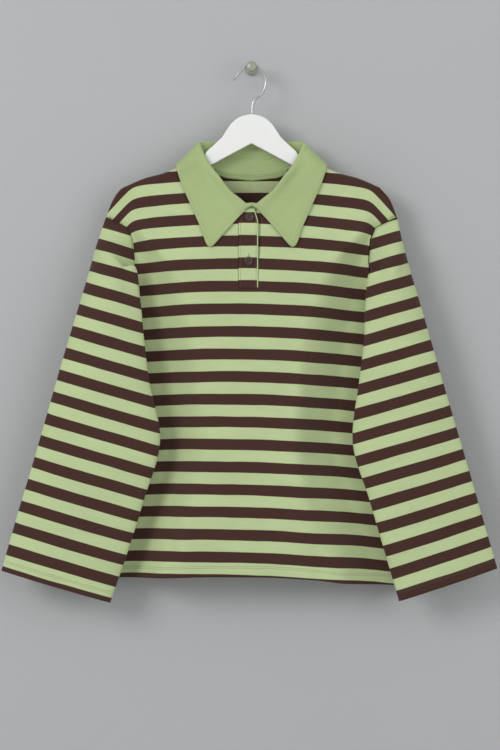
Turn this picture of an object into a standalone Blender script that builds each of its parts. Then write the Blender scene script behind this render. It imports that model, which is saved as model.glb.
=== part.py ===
"""A collared sweatshirt hung on a flat wooden hanger from a small wall peg.

World frame in metres: +X is the viewer's right, +Y runs towards the wall, +Z is up.
The origin is where the wire hook bears on the peg. Lengths below are millimetres.
A height is given as a drop, the distance below the origin, so z = -drop.
"""
import math

import bmesh
import bpy
import numpy as np
from mathutils import Matrix, Vector

MM = 0.001
NAME = "collared_sweatshirt_on_hanger"

# Cloth walls and the clearance at seams
CLOTH = 1.7
TURN_UP = 2.6
COLLAR_WALL = 2.4
PLACKET_WALL = 2.2
SEAM = 1.2
RIDGE_SEAM = 0.5
SIDE_SEAM = 0.9

# Body outline, half widths and drops
SHOULDER_TIP = 226.0
SHOULDER = {
    "half": (82, 95, 110, 139, 165, 190, 205, 217, 226),
    "drop": (142, 150, 158, 170, 177, 187.5, 196, 214, 237),
}
NECK_HALF = 82.0
NECK_LINE_RISE = 0.5
FRONT_NECK = {
    "half": (0, 8, 28, 46, 62, 74, 80, 82),
    "drop": (225, 224.5, 219.5, 209.5, 194, 170, 150, 142),
}
BACK_NECK = {
    "half": (0, 40, 68, 80, 82),
    "drop": (175.5, 171.5, 161, 150, 142),
}
HEM = {
    "across": (-245, -211, -133, -76, -19, 39, 96, 139, 223, 245),
    "drop": (799, 800, 799, 797, 797, 798, 802, 808, 813, 814),
}
HEM_DEPTH = 17.0
ARMPIT_DROP = 447.0

# Seam from the shoulder tip round the armhole and down the side: drop, half width, depth
FRONT_EDGE = {
    "drop": (237, 246, 254, 272, 305, 360, 420, 447, 620, 830),
    "half": (226, 206, 194, 187, 186, 191, 217, 240, 243, 245),
    "depth": (0, -3, -6, -7, -7, -3, 10, 22, 22, 22),
}
BACK_EDGE = {
    "drop": (237, 262, 330, 400, 447, 620, 830),
    "half": (226, 217, 212, 221, 240, 243, 245),
    "depth": (0, 11, 20, 24, 22, 22, 22),
}
EDGE_ROLL = 14.0

# Depth of the front: how far it stands forward, where it turns back, and its depth beyond
FRONT_FORM = {
    "drop": (140, 237, 272, 300, 345, 385, 424, 490, 587, 677, 742, 830),
    "turn_from": (178, 178, 164, 140, 118, 106, 95, 84, 74, 95, 118, 146),
    "turn_to": (204, 200, 190, 176, 165, 159, 152, 144, 130, 156, 182, 212),
    "beyond": (-9, -9, -6, -3, 3, 6, 9, 10, 10, 12, 13, 14),
}
RIDGE_DEPTH = 9.0
RIDGE_ROUND = 4.0
FRONT_SWELL = 26.0
BACK_SWELL = 22.0
SWELL_OVER = 160.0

# Soft hanging folds of the front: place at the top and hem, half width, height and reach
FRONT_FOLDS = (
    {"top": -128, "foot": -148, "wide": 13, "high": 3.2, "start": 400, "stop": 830},
    {"top": -92, "foot": -104, "wide": 15, "high": 2.2, "start": 330, "stop": 830},
    {"top": 66, "foot": 80, "wide": 17, "high": 2.8, "start": 380, "stop": 830},
    {"top": 112, "foot": 150, "wide": 15, "high": 3.4, "start": 300, "stop": 830},
)
BACK_FOLDS = (
    {"top": -104, "foot": -138, "wide": 20, "high": 3.4, "start": 280, "stop": 830},
    {"top": 18, "foot": 34, "wide": 24, "high": 2.6, "start": 400, "stop": 830},
    {"top": 112, "foot": 140, "wide": 18, "high": 3.0, "start": 260, "stop": 830},
)

# Columns of the body panels, closer where the cloth turns
FRONT_COLUMNS = (28, 46, 62, 74, 80, 82, 104, 125, 145, 164, 182, 198, 211, 219, 224, 226)
BACK_COLUMNS = (20, 40, 54, 68, 80, 82, 104, 125, 145, 164, 182, 198, 211, 219, 224, 226)
NOTCH_LEFT = -20.4
NOTCH_RIGHT = 10.4
NOTCH_DROP = 349.6
GAPE = {"drop": (225, 240, 290, 312, 350), "open": (4.2, 4.0, 3.4, 0.4, 0.0)}
ROLL_STEPS = (0.0, 0.45, 1.7, 4.2)
YOKE_SHARES = (0.05, 0.12, 0.28, 0.5, 0.75, 1.0)
ARMHOLE_ROWS = (360, 380, 400, 420, 434, 447)
SKIRT_ROWS = 8

# Sleeves: outer edge, inner fold and underarm seam of each section as half width and drop,
# then the depths of its front, its back and its underarm seam
SECTION_COLUMNS = ("outer", "fold", "under", "front", "back", "tuck")
RIGHT_SLEEVE = (
    ((233, 270), (184, 338), (243, 458), -30, 18, 5),
    ((246, 320), (179, 385), (237, 472), -38, 14, 0),
    ((262, 375), (176, 425), (215, 490), -41, 2, -4),
    ((285, 455), (168, 490), (184, 512), -42, -8, -9),
    ((310, 541), (159, 587), (168, 584), -41, -11, -13),
    ((337, 632), (185, 677), (194, 674), -39, -11, -13),
    ((356, 698), (204, 742), (213, 739), -37, -11, -13),
    ((381, 784), (231, 834), (240, 831), -35, -11, -13),
)
LEFT_SLEEVE = (
    ((237, 270), (181, 330), (243, 458), -31, 18, 5),
    ((251, 320), (175, 378), (237, 472), -39, 14, 0),
    ((267, 375), (168, 428), (212, 490), -42, 2, -4),
    ((291, 455), (158, 498), (176, 514), -43, -8, -9),
    ((313, 532), (144, 581), (153, 578), -42, -11, -13),
    ((343, 636), (172, 686), (181, 683), -40, -11, -13),
    ((359, 688), (188, 738), (197, 735), -38, -11, -13),
    ((387.5, 787.5), (221.5, 836), (230, 833), -36, -11, -13),
)
RING_SIDES = 26
ARMHOLE_CLEAR = 2.9
FOLD_FORWARD = 0.66
SLEEVE_ROWS = 17
CUFF_DEPTH = 15.0
RING_PLACES = (0.0, 0.14, 0.28, 0.40, 0.5, 0.68, 0.85, 1.0)

# Collar stations from the front end to the back centre
COLLAR = (
    {"seam": (0.8, 225), "roll": (0.8, 217.5, -33), "fall": (8.5, 221), "turn": 0},
    {"seam": (8, 224.5), "roll": (8, 218.5, -33), "fall": (61.5, 285), "turn": 0},
    {"seam": (28, 219.5), "roll": (20, 209, -30), "fall": (79, 254), "turn": 0},
    {"seam": (46, 209.5), "roll": (33, 198, -27), "fall": (91, 227), "turn": 10},
    {"seam": (62, 194), "roll": (50, 175, -21), "fall": (102, 202), "turn": 25},
    {"seam": (74, 170), "roll": (65, 155, -14), "fall": (112, 177), "turn": 50},
    {"seam": (80, 150), "roll": (75, 136, -9), "fall": (116, 163), "turn": 70},
    {"seam": (82, 142), "roll": (80, 122, 0), "fall": (117, 155), "turn": 90},
    {"seam": (80, 150), "roll": (77, 120, 9), "fall": (115, 160.5), "turn": 110},
    {"seam": (68, 161), "roll": (66, 119, 14), "fall": (100, 174), "turn": 140},
    {"seam": (40, 171.5), "roll": (40, 119, 17), "fall": (62, 189), "turn": 165},
    {"seam": (0, 175.5), "roll": (0, 119, 18), "fall": (0, 197), "turn": 180},
)
COLLAR_RIDGE_STATION = 7
COLLAR_LOOP = 5.0
COLLAR_INSET = (0, 1, 1, 1, 1, 1, 2.4, 2.4, 2.4, 1, 1, 0)
COLLAR_LIFT = 3.4
COLLAR_COLUMNS = 24

BINDING_HALF = 56.0
BINDING_CLEAR = 0.9
UNDERLAP_CLEAR = 0.5

# Buttons
BUTTON_RADIUS = 6.75
BUTTON_THICK = 2.6
BUTTONS = {"button_upper": (-3.1, 239.3), "button_lower": (-4.5, 307.2)}

# Hanger, hook and peg
HANGER_THICK = 12.0
HANGER_CLEAR = 2.3
HANGER_TOP = {
    "half": (0, 15, 24, 32.5, 39.2, 45.5, 58, 69, 74, 79, 86),
    "drop": (76.5, 79.8, 84.6, 92.7, 102.5, 112.6, 124.6, 134.2, 141.5, 149, 151),
}
HANGER_ARM = (95, 102, 110, 124, 139, 152, 165, 178, 190)
HANGER_END = {"half": (198, 202.5, 202.5, 197), "drop": (194.6, 200.5, 207.5, 213)}
HANGER_FOOT = {"half": (188, 150, 110, 62, 30, 0), "drop": (213.5, 201, 184, 156, 138.6, 122.6)}
WIRE_RADIUS = 1.7
HOOK_PATH = {
    "across": (-29.9, -24.2, -20.6, -15.3, -8.5, 0, 8.3, 15.8, 21.2, 22.3, 20.3, 16.7, 11.5, 5.3, 2.5, 1.2, 0.8),
    "drop": (23.3, 18.4, 13.5, 7.8, 1.8, -1.7, 2.0, 9.8, 19.4, 27.3, 36.1, 43.2, 49.1, 53.9, 58.4, 65.6, 76.2),
}
HOOK_POINTS = 46
PEG_AXIS_DROP = 2.9
PEG_PROFILE = {
    "radius": (0, 9, 9, 8, 2.6, 2.6, 7.9, 8.4, 8.4, 7.0, 4.2, 0),
    "along": (42, 42, 37, 36, 33, -2.2, -2.2, -2.9, -5.0, -7.0, -8.2, -8.6),
}

# Colours and finishes
FINISHES = {
    "knit_green": ((0.36, 0.44, 0.22), 0.9, 0.0),
    "button_brown": ((0.16, 0.12, 0.08), 0.35, 0.0),
    "white_wood": ((0.80, 0.80, 0.78), 0.45, 0.0),
    "steel_wire": ((0.42, 0.42, 0.40), 0.3, 1.0),
    "peg_metal": ((0.34, 0.36, 0.29), 0.45, 0.3),
}


def clear_scene():
    for old in list(bpy.data.objects):
        bpy.data.objects.remove(old, do_unlink=True)


def finish(name):
    """One Principled material for one piece, named after the piece's finish."""
    colour, rough, metal = FINISHES[name]
    material = bpy.data.materials.new(name)
    material.use_nodes = True
    shader = material.node_tree.nodes["Principled BSDF"]
    shader.inputs["Base Color"].default_value = (*colour, 1.0)
    shader.inputs["Roughness"].default_value = rough
    shader.inputs["Metallic"].default_value = metal
    return material


def smooth(value):
    """Ease from 0 to 1: 3 v^2 - 2 v^3."""
    value = np.clip(value, 0.0, 1.0)
    return value * value * (3.0 - 2.0 * value)


def through(at, places, values):
    """Cubic through a table's rows, each slope the mean of the two chords beside it."""
    places = np.asarray(places, float)
    values = np.asarray(values, float)
    flat = values.ndim == 1
    if flat:
        values = values[:, None]
    step = np.diff(places)[:, None]
    chord = np.diff(values, axis=0) / step
    slope = np.vstack([chord[:1], 0.5 * (chord[1:] + chord[:-1]), chord[-1:]])
    at = np.clip(np.asarray(at, float), places[0], places[-1])
    cell = np.clip(np.searchsorted(places, at, side="right") - 1, 0, len(places) - 2)
    part = ((at - places[cell]) / step[cell, 0])[..., None]
    start, end = values[cell], values[cell + 1]
    rise, fall = slope[cell] * step[cell], slope[cell + 1] * step[cell]
    square, cube = part ** 2, part ** 3
    result = (
        start * (2 * cube - 3 * square + 1)
        + rise * (cube - 2 * square + part)
        + end * (3 * square - 2 * cube)
        + fall * (cube - square)
    )
    return result[..., 0] if flat else result


def top_drop(half):
    """Drop of the hanger's ridge line: the shoulder table, and a straight rise inside the neck."""
    inside = SHOULDER["drop"][0] - NECK_LINE_RISE * (NECK_HALF - half)
    return np.where(half < NECK_HALF, inside, np.interp(half, SHOULDER["half"], SHOULDER["drop"]))


def fold_height(folds, across, drop):
    """Sum of soft ridges: each a bell across its line, fading in as it runs to the hem."""
    height = np.zeros(np.broadcast(across, drop).shape)
    for fold in folds:
        along = (drop - fold["start"]) / (fold["stop"] - fold["start"])
        line = fold["top"] + (fold["foot"] - fold["top"]) * np.clip(along, 0, 1)
        fade = smooth(along / 0.3)
        height = height + fold["high"] * fade * np.exp(-(((across - line) / fold["wide"]) ** 2))
    return height


def ridge_turn(below):
    """How far the cloth has turned down from the ridge: a quarter ellipse, 0 on it and 1 below."""
    part = np.clip(below / RIDGE_ROUND, 0.0, 1.0)
    return np.sqrt(1.0 - (1.0 - part) ** 2)


def front_cover(across, drop):
    """Depth of the front without its turn over the hanger."""
    half = np.abs(across)
    below = drop - top_drop(half)
    forward = RIDGE_DEPTH + FRONT_SWELL * smooth(below / SWELL_OVER)
    forward = forward + fold_height(FRONT_FOLDS, across, drop)
    form = [np.interp(drop, FRONT_FORM["drop"], FRONT_FORM[k]) for k in ("turn_from", "turn_to", "beyond")]
    turned = smooth((half - form[0]) / (form[1] - form[0]))
    return -forward * (1 - turned) + form[2] * turned


def front_depth(across, drop):
    """Depth of the front panel's middle, turned over the hanger's ridge."""
    below = drop - top_drop(np.abs(across))
    return front_cover(across, drop) * ridge_turn(below)


def back_cover(across, drop):
    """Depth of the back without its turn over the hanger."""
    below = drop - top_drop(np.abs(across))
    backward = RIDGE_DEPTH + BACK_SWELL * smooth(below / SWELL_OVER)
    return backward + fold_height(BACK_FOLDS, across, drop)


def back_depth(across, drop):
    """Depth of the back panel's middle, turned over the hanger's ridge."""
    below = drop - top_drop(np.abs(across))
    return back_cover(across, drop) * ridge_turn(below)


def to_points(across, depth, drop):
    """World points in metres from millimetre fields."""
    across, depth, drop = np.broadcast_arrays(across, depth, drop)
    return np.stack([across, depth, -drop], axis=-1) * MM


def add_wall(name, points, wall, look, ring=False, holes=None, thick_rows=None, thin=1.0, split=False):
    """A cloth wall: quads over a grid of points, given its thickness by Solidify.

    ring joins the last column to the first, holes leaves quads out, and rows in thick_rows
    keep the whole wall while the others have the share thin of it. split cuts twisted quads
    into triangles here, once, so that every file of the part has the same ones.
    """
    rows, columns = points.shape[:2]
    index = np.arange(rows * columns).reshape(rows, columns)
    if ring:
        index = np.hstack([index, index[:, :1]])
    quads = np.stack([index[:-1, :-1], index[1:, :-1], index[1:, 1:], index[:-1, 1:]], axis=-1)
    keep = np.ones(quads.shape[:2], bool)
    if holes is not None:
        keep &= ~holes
    mesh = bpy.data.meshes.new(name)
    mesh.from_pydata(points.reshape(-1, 3).tolist(), [], quads[keep].tolist())
    loose = bmesh.new()
    loose.from_mesh(mesh)
    bmesh.ops.delete(loose, geom=[v for v in loose.verts if not v.link_faces], context="VERTS")
    loose.to_mesh(mesh)
    loose.free()
    mesh.shade_smooth()
    piece = bpy.data.objects.new(name, mesh)
    parts.objects.link(piece)
    solid = piece.modifiers.new("wall", "SOLIDIFY")
    solid.thickness = wall * MM
    solid.offset = 0.0
    if thick_rows is not None:
        group = piece.vertex_groups.new(name="turn_up")
        group.add(index[thick_rows][:, :columns].ravel().tolist(), 1.0, "REPLACE")
        solid.vertex_group = "turn_up"
        solid.thickness_vertex_group = thin
    if split:
        triangles = piece.modifiers.new("triangles", "TRIANGULATE")
        triangles.quad_method = "FIXED"
    mesh.materials.append(finish(look))
    return piece


def body_columns(notched):
    outer = np.array(FRONT_COLUMNS if notched else BACK_COLUMNS, float)
    middle = (NOTCH_LEFT, -5.0, NOTCH_RIGHT) if notched else (0.0,)
    return np.concatenate([-outer[::-1], middle, outer])


def body_grid(columns, neck, edge, depth_of, sign):
    """Across, depth and drop of a body panel.

    Rows run from the shoulder and neckline to the placket's foot, then to the hem. Columns are
    upright near the middle and follow the seam's curve at the sides, in proportion between.
    """
    half = np.abs(columns)
    neck_drop = np.interp(half, neck["half"], neck["drop"])
    head = np.where(half < NECK_HALF, neck_drop, top_drop(half))
    foot = np.interp(columns, HEM["across"], HEM["drop"])
    yoke = np.array(YOKE_SHARES)[:, None]
    skirt = np.linspace(0, 1, SKIRT_ROWS + 1)[1:, None]
    roll = head + np.array(ROLL_STEPS)[:, None]
    upper = roll[-1] + (NOTCH_DROP - roll[-1]) * yoke
    middle = np.array(ARMHOLE_ROWS, float)[:, None] + 0 * foot
    lower = ARMPIT_DROP + (foot - HEM_DEPTH - ARMPIT_DROP) * skirt
    drop = np.vstack([roll, upper, middle, lower, foot - 0.5 * HEM_DEPTH, foot])
    reach = np.interp(drop, edge["drop"], edge["half"])
    share = np.clip((half - 28.0) / (SHOULDER_TIP - 28.0), 0, 1)
    wide = half + (reach - SHOULDER_TIP) * share
    across = np.sign(columns) * wide
    depth = depth_of(across, drop)
    seam = np.interp(drop, edge["drop"], edge["depth"]) + sign * SIDE_SEAM
    inset = np.clip((reach - wide) / EDGE_ROLL, 0, 1)
    turn = 1.0 - np.sqrt(1.0 - (1.0 - inset) ** 2)
    depth = depth + (seam - depth) * turn
    on_ridge = (drop - top_drop(np.minimum(half, SHOULDER_TIP)) < 0.01) & (half >= NECK_HALF)
    depth = np.where(on_ridge, sign * RIDGE_SEAM, depth)
    return across, depth, drop


def build_front():
    columns = body_columns(notched=True)
    across, depth, drop = body_grid(columns, FRONT_NECK, FRONT_EDGE, front_depth, -1)
    gape = np.interp(drop, GAPE["drop"], GAPE["open"])
    near = np.clip(1.0 - (across - NOTCH_RIGHT) / 40.0, 0, 1) * (across > NOTCH_RIGHT - 0.01)
    across = across + gape * near
    points = to_points(across, depth, drop)
    rows = points.shape[0]
    notch = np.zeros((rows - 1, len(columns) - 1), bool)
    first = len(FRONT_COLUMNS)
    notch[:len(ROLL_STEPS) - 1 + len(YOKE_SHARES), first:first + 2] = True
    add_wall(
        "front_body", points, TURN_UP, "knit_green", holes=notch,
        thick_rows=[rows - 3, rows - 2, rows - 1], thin=CLOTH / TURN_UP,
    )


def build_back():
    across, depth, drop = body_grid(body_columns(notched=False), BACK_NECK, BACK_EDGE, back_depth, 1)
    points = to_points(across, depth, drop)
    rows = points.shape[0]
    add_wall(
        "back_body", points, TURN_UP, "knit_green",
        thick_rows=[rows - 3, rows - 2, rows - 1], thin=CLOTH / TURN_UP,
    )


def seam_run(edge, count):
    """Evenly spaced points along an armhole seam, from the shoulder tip to the armpit."""
    drop = np.linspace(SHOULDER["drop"][-1], ARMPIT_DROP, 200)
    run = np.stack([
        np.interp(drop, edge["drop"], edge["half"]),
        np.interp(drop, edge["drop"], edge["depth"]),
        drop,
    ], axis=-1)
    length = np.concatenate([[0], np.cumsum(np.linalg.norm(np.diff(run, axis=0), axis=1))])
    at = np.linspace(0, length[-1], count)
    return np.stack([np.interp(at, length, run[:, k]) for k in range(3)], axis=-1)


def armhole_ring():
    """The sleeve's first ring: just outside the front armhole seam, and back up the rear one."""
    half = RING_SIDES // 2
    front = seam_run(FRONT_EDGE, half + 1)
    rear = seam_run(BACK_EDGE, half + 1)
    for seam, forward in ((front, -4.2), (rear, 0.8)):
        along = np.gradient(seam[:, [0, 2]], axis=0)
        along /= np.linalg.norm(along, axis=1, keepdims=True)
        seam[:, 0] += ARMHOLE_CLEAR * along[:, 1]
        seam[:, 2] -= ARMHOLE_CLEAR * along[:, 0]
        seam[:, 1] += forward * np.sin(np.linspace(0, math.pi, len(seam))) ** 0.5
    front[0] = 0.5 * (front[0] + rear[0])
    return np.vstack([front, rear[-2:0:-1]])


def section_ring(values):
    """A flat tube's section through outer edge, front, inner fold, underarm and back."""
    row = dict(zip(SECTION_COLUMNS, values))
    outer = np.array([row["outer"][0], 0.5 * (row["front"] + row["back"]), row["outer"][1]])
    fold_depth = row["front"] * FOLD_FORWARD + row["back"] * (1 - FOLD_FORWARD)
    fold = np.array([row["fold"][0], fold_depth, row["fold"][1]])
    under = np.array([row["under"][0], row["tuck"], row["under"][1]])
    front_one = outer + 0.30 * (fold - outer)
    front_two = outer + 0.72 * (fold - outer)
    back_two = under + 0.35 * (outer - under)
    back_one = under + 0.75 * (outer - under)
    front_one[1] = row["front"]
    front_two[1] = row["front"]
    back_two[1] = row["back"]
    back_one[1] = row["back"]
    knots = np.array([outer, front_one, front_two, fold, under, back_two, back_one, outer])
    places = np.array(RING_PLACES)
    wrapped = np.vstack([knots[:-1], knots, knots[1:]])
    spots = np.concatenate([places[:-1] - 1, places, places[1:] + 1])
    return through(np.arange(RING_SIDES) / RING_SIDES, spots, wrapped)


def build_sleeve(name, sections, side):
    rings = np.array([armhole_ring()] + [section_ring(row) for row in sections])
    middle = rings.mean(axis=1)
    outer = np.linalg.norm(np.diff(rings[:, 0], axis=0), axis=1)
    length = np.concatenate([[0], np.cumsum(outer + np.linalg.norm(np.diff(middle, axis=0), axis=1))])
    cuff = length[-1] - 2 * CUFF_DEPTH
    at = np.concatenate([np.linspace(0, cuff, SLEEVE_ROWS), [length[-1]]])
    tube = through(at, length, rings.reshape(len(rings), -1)).reshape(len(at), RING_SIDES, 3)
    points = to_points(side * tube[..., 0], tube[..., 1], tube[..., 2])
    rows = points.shape[0]
    add_wall(
        name, points, TURN_UP, "knit_green", ring=True,
        thick_rows=[rows - 2, rows - 1], thin=CLOTH / TURN_UP,
    )


def collar_profile(number, row):
    """One station's line: up the stand, over the roll and down the fall to the outer edge."""
    angle = math.radians(row["turn"])
    outward = np.array([math.sin(angle), -math.cos(angle), 0.0])
    seam_half, seam_drop = row["seam"]
    front = number < COLLAR_RIDGE_STATION
    ridge = number == COLLAR_RIDGE_STATION
    depth_of = front_depth if front else back_depth
    seam_depth = 0.0 if ridge else float(depth_of(np.array(seam_half), np.array(seam_drop)))
    seam = np.array([seam_half - COLLAR_INSET[number], seam_depth, seam_drop - SEAM])
    roll = np.array([row["roll"][0], row["roll"][2], row["roll"][1]], float)
    down = np.array([0.0, 0.0, 2.4])
    inner = roll + down
    outer = roll + outward * COLLAR_LOOP + down
    edge_half, edge_drop = row["fall"]
    line = [seam, 0.5 * (seam + inner), inner]
    line.append(roll + outward * 0.15 * COLLAR_LOOP + 0.3 * down)
    line.append(roll + outward * 0.5 * COLLAR_LOOP)
    line.append(roll + outward * 0.85 * COLLAR_LOOP + 0.3 * down)
    for part in (0.0, 0.2, 0.45, 0.72, 1.0):
        half = outer[0] + (edge_half - outer[0]) * part
        drop = outer[2] + (edge_drop - outer[2]) * part
        cover = front_cover if front else back_cover
        lying = float(cover(np.array(half), np.array(drop)))
        lying += (-COLLAR_LIFT if front else COLLAR_LIFT + 1.0) * (1.0 + 0.35 * math.sin(math.pi * part))
        if ridge:
            lying = 0.0
        mix = min(1.0, part / 0.2)
        line.append(np.array([half, outer[1] + (lying - outer[1]) * mix, drop]))
    return np.array(line)


def build_collar():
    half = np.array([collar_profile(number, row) for number, row in enumerate(COLLAR)])
    steps = np.linalg.norm(np.diff(half, axis=0), axis=2).mean(axis=1)
    length = np.concatenate([[0], np.cumsum(steps)])
    first = np.array([0.0, length[1]])
    rest = np.linspace(length[1], length[-1], COLLAR_COLUMNS)[1:]
    at = np.concatenate([first, rest])
    lines = through(at, length, half.reshape(len(half), -1)).reshape(len(at), -1, 3)
    lines[0] = half[0]
    for axis in range(3):
        lines[:, 0, axis] = np.interp(at, length, half[:, 0, axis])
    right = lines
    left = lines[:-1].copy()
    left[..., 0] *= -1
    whole = np.concatenate([left, right[::-1]])
    points = to_points(whole[..., 0], whole[..., 1], whole[..., 2])
    add_wall("collar", points, COLLAR_WALL, "knit_green", split=True)


def build_binding():
    """The taped back neck seam: a narrow band inside the back, following its neckline."""
    across = np.linspace(-BINDING_HALF, BINDING_HALF, 19)
    line = np.interp(np.abs(across), BACK_NECK["half"], BACK_NECK["drop"])
    drop = line + np.array([-3.4, 2.4])[:, None]
    level = back_depth(across, line)
    depth = np.vstack([level, back_depth(across, drop[1])]) - 0.5 * COLLAR_WALL - BINDING_CLEAR
    depth[0] -= 0.6
    add_wall("neck_binding", to_points(across, depth, drop), 1.0, "knit_green")


def build_placket():
    """Overlap strip that fills the front's notch, and the underlap strip behind it."""
    drop_rows = np.linspace(0, 1, 15)[:, None]
    across_share = np.linspace(0, 1, 5)
    foot = NOTCH_DROP - 0.4
    left = NOTCH_LEFT + 0.4
    rough = FRONT_NECK["drop"][0] + (foot - FRONT_NECK["drop"][0]) * drop_rows
    right = NOTCH_RIGHT - 0.4 - 5.0 * (1 - smooth((rough - 225) / 24.0))
    across = left + (right - left) * across_share
    head = np.interp(np.abs(across), FRONT_NECK["half"], FRONT_NECK["drop"]) + 0.3
    drop = head + (foot - head) * drop_rows
    add_wall("placket_overlap", to_points(across, front_depth(across, drop), drop), PLACKET_WALL, "knit_green")
    across = -13.0 + 37.0 * across_share + 0 * drop_rows
    head = np.interp(np.abs(across), FRONT_NECK["half"], FRONT_NECK["drop"]) + 1.0
    drop = head + (foot + 3.0 - head) * drop_rows
    behind = front_depth(across, drop) + PLACKET_WALL + UNDERLAP_CLEAR
    add_wall("placket_underlap", to_points(across, behind, drop), PLACKET_WALL, "knit_green")


def turned(name, radius, along, look, steps):
    """A turned piece: its profile about the local Z axis, made solid by a Screw modifier."""
    mesh = bpy.data.meshes.new(name)
    places = [(r * MM, 0.0, a * MM) for r, a in zip(radius, along)]
    mesh.from_pydata(places, [(i, i + 1) for i in range(len(places) - 1)], [])
    piece = bpy.data.objects.new(name, mesh)
    parts.objects.link(piece)
    spin = piece.modifiers.new("turned", "SCREW")
    spin.steps = steps
    spin.render_steps = steps
    spin.use_merge_vertices = True
    spin.merge_threshold = 0.00005
    spin.use_smooth_shade = True
    mesh.materials.append(finish(look))
    return piece


def build_buttons():
    """Rimmed round buttons, lying on the overlap strip and tilted with it."""
    r, t = BUTTON_RADIUS, BUTTON_THICK
    radius = (0, 0.52 * r, 0.66 * r, 0.86 * r, r, r, 0.8 * r, 0)
    along = (0.30 * t, 0.30 * t, 0.5 * t, 0.5 * t, 0.2 * t, -0.2 * t, -0.5 * t, -0.5 * t)
    for name, (across, drop) in BUTTONS.items():
        piece = turned(name, radius, along, "button_brown", 28)
        here = float(front_depth(np.array(across), np.array(drop)))
        step = 5.0
        lower = float(front_depth(np.array(across), np.array(drop + step)))
        aside = float(front_depth(np.array(across + step), np.array(drop)))
        normal = Vector(((aside - here) / step, -1.0, -(lower - here) / step)).normalized()
        lift = 0.5 * PLACKET_WALL + 0.5 * t + 0.45
        place = Vector((across, here, -drop)) + normal * lift
        turn = normal.to_track_quat("Z", "X").to_matrix().to_4x4()
        piece.matrix_world = Matrix.Translation(place * MM) @ turn


def build_hanger():
    """A flat board: its front outline as a 2D curve, half its thickness extruded each way."""
    arm = np.array(HANGER_ARM, float)
    right = list(zip(HANGER_TOP["half"], HANGER_TOP["drop"]))
    right += [(float(h), float(top_drop(np.array(h))) + HANGER_CLEAR) for h in arm]
    right += list(zip(HANGER_END["half"], HANGER_END["drop"]))
    right += list(zip(HANGER_FOOT["half"], HANGER_FOOT["drop"]))
    left = [(-half, drop) for half, drop in right[::-1] if half > 0]
    outline = right + left
    curve = bpy.data.curves.new("hanger_body", "CURVE")
    curve.dimensions = "2D"
    curve.fill_mode = "BOTH"
    curve.extrude = 0.5 * HANGER_THICK * MM
    line = curve.splines.new("POLY")
    line.points.add(len(outline) - 1)
    for spot, (half, drop) in zip(line.points, outline):
        spot.co = (half * MM, -drop * MM, 0.0, 1.0)
    line.use_cyclic_u = True
    piece = bpy.data.objects.new("hanger_body", curve)
    parts.objects.link(piece)
    piece.rotation_euler = (0.5 * math.pi, 0.0, 0.0)
    weld = piece.modifiers.new("join_caps", "WELD")
    weld.merge_threshold = 0.00005
    edge = piece.modifiers.new("eased_edge", "BEVEL")
    edge.width = 1.6 * MM
    edge.segments = 2
    edge.limit_method = "ANGLE"
    edge.angle_limit = math.radians(50)
    curve.materials.append(finish("white_wood"))


def build_hook():
    """The wire hook: a round wire along a smooth path over the peg and down to the crown."""
    path = np.stack([HOOK_PATH["across"], HOOK_PATH["drop"]], axis=-1).astype(float)
    length = np.concatenate([[0], np.cumsum(np.linalg.norm(np.diff(path, axis=0), axis=1))])
    run = through(np.linspace(0, length[-1], HOOK_POINTS), length, path)
    curve = bpy.data.curves.new("hanger_hook", "CURVE")
    curve.dimensions = "3D"
    curve.bevel_depth = WIRE_RADIUS * MM
    curve.bevel_resolution = 2
    curve.use_fill_caps = True
    line = curve.splines.new("POLY")
    line.points.add(len(run) - 1)
    for spot, (across, drop) in zip(line.points, run):
        spot.co = (across * MM, 0.0, -drop * MM, 1.0)
    piece = bpy.data.objects.new("hanger_hook", curve)
    parts.objects.link(piece)
    curve.materials.append(finish("steel_wire"))


def build_peg():
    """The wall peg: a round head, a thin neck that carries the wire, and a flat wall plate."""
    piece = turned("wall_peg", PEG_PROFILE["radius"], PEG_PROFILE["along"], "peg_metal", 24)
    piece.rotation_euler = (-0.5 * math.pi, 0.0, 0.0)
    piece.location = (0.0, 0.0, -PEG_AXIS_DROP * MM)


clear_scene()
parts = bpy.data.collections.new(NAME)
bpy.context.scene.collection.children.link(parts)
build_front()
build_back()
build_sleeve("sleeve_left", LEFT_SLEEVE, -1)
build_sleeve("sleeve_right", RIGHT_SLEEVE, 1)
build_collar()
build_binding()
build_placket()
build_buttons()
build_hanger()
build_hook()
build_peg()
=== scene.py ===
# %% [markdown]
# A collared, striped knit sweatshirt hangs on a flat white hanger from a small wall peg.
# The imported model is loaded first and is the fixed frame: every new piece is worked out in
# the same metres, so it lands on its solid without any fitting. Lengths are written in
# millimetres here, and a height is given as a drop below the peg, so z = -drop.

# %% Load the frame
import math

import bpy
import numpy as np
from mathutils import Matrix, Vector


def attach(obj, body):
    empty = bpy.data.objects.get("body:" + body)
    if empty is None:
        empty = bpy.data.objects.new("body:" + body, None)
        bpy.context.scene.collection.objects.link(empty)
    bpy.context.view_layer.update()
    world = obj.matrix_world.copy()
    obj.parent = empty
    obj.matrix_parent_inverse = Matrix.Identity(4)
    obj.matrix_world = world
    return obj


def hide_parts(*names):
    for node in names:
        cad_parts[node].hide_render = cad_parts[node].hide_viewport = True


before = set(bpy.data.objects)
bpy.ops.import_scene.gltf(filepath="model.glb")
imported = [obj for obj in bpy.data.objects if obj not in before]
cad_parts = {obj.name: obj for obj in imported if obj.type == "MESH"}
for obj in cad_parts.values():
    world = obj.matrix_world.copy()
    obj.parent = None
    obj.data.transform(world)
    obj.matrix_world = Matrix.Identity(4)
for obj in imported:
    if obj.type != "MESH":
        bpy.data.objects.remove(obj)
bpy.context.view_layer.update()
MM = 0.001
print("nodes:", sorted(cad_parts))

# %% [markdown]
# The garment's sizes. Each table is a row of named columns: a half width beside a drop, or a
# drop beside a half width and a depth. A smooth cubic through the rows gives the cloth's line.

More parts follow.
